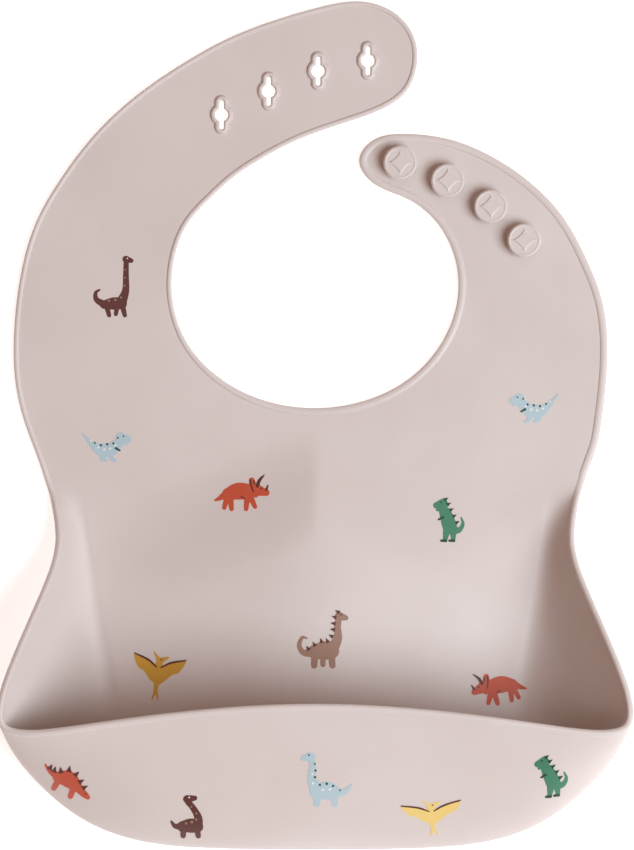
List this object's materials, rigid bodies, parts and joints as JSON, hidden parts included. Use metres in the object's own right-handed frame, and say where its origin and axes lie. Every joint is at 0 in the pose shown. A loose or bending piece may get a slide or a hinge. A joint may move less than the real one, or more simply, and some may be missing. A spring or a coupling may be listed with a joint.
{
  "type": "silicone baby bib",
  "caption": "Soft silicone baby bib with an open crumb pocket, a buttonhole strap, a stud strap and a small dinosaur print.",
  "frame": {"origin": "on the flat back of the chest panel, on the bib's middle line, between the neck opening and the tummy panel", "axes": "+X across the bib towards the stud strap, +Y from the pocket towards the neck, +Z out of the front face; the bib lies on its back"},
  "size_m": [0.2208, 0.3018, 0.0531],
  "materials": {
    "sheet": "matte silicone, warm beige",
    "ring": "matte silicone, warm beige",
    "stud": "matte silicone, warm beige"
  },
  "bodies": {
    "lower": {"tummy_panel": "sheet", "pocket_trough": "sheet", "gusset_left": "sheet", "gusset_right": "sheet"},
    "pocket": {"pocket_front": "sheet"},
    "chest": {"chest_panel": "sheet"},
    "long_strap": {"buttonhole_strap": "sheet"},
    "long_strap_tip": {"buttonhole_strap_tip": "sheet", "buttonhole_ring_1": "ring", "buttonhole_ring_2": "ring", "buttonhole_ring_3": "ring", "buttonhole_ring_4": "ring"},
    "short_strap": {"button_strap": "sheet", "stud_1": "stud", "stud_2": "stud", "stud_3": "stud", "stud_4": "stud"}
  },
  "joints": [
    {"name": "pocket_open", "type": "hinge", "parent": "lower", "child": "pocket", "pos_m": [0, -0.146, 0.0172], "axis": [1, 0, 0], "range_deg": [-12, 25], "stiffness_Nm_per_rad": 0.3},
    {"name": "chest_fold", "type": "hinge", "parent": "lower", "child": "chest", "pos_m": [0, -0.00685, 0.002], "axis": [1, 0, 0], "range_deg": [0, 95], "stiffness_Nm_per_rad": 0.02},
    {"name": "long_strap_bend", "type": "hinge", "parent": "chest", "child": "long_strap", "pos_m": [-0.0787, 0.045, 0.002], "axis": [1, 0, 0], "range_deg": [0, 40], "stiffness_Nm_per_rad": 0.02},
    {"name": "long_strap_tip_bend", "type": "hinge", "parent": "long_strap", "child": "long_strap_tip", "pos_m": [-0.048, 0.1015, 0.002], "axis": [0.7787, -0.6273, 0], "range_deg": [0, 35], "stiffness_Nm_per_rad": 0.01},
    {"name": "short_strap_bend", "type": "hinge", "parent": "chest", "child": "short_strap", "pos_m": [0.0765, 0.045, 0.002], "axis": [1, 0, 0], "range_deg": [0, 60], "stiffness_Nm_per_rad": 0.01}
  ]
}
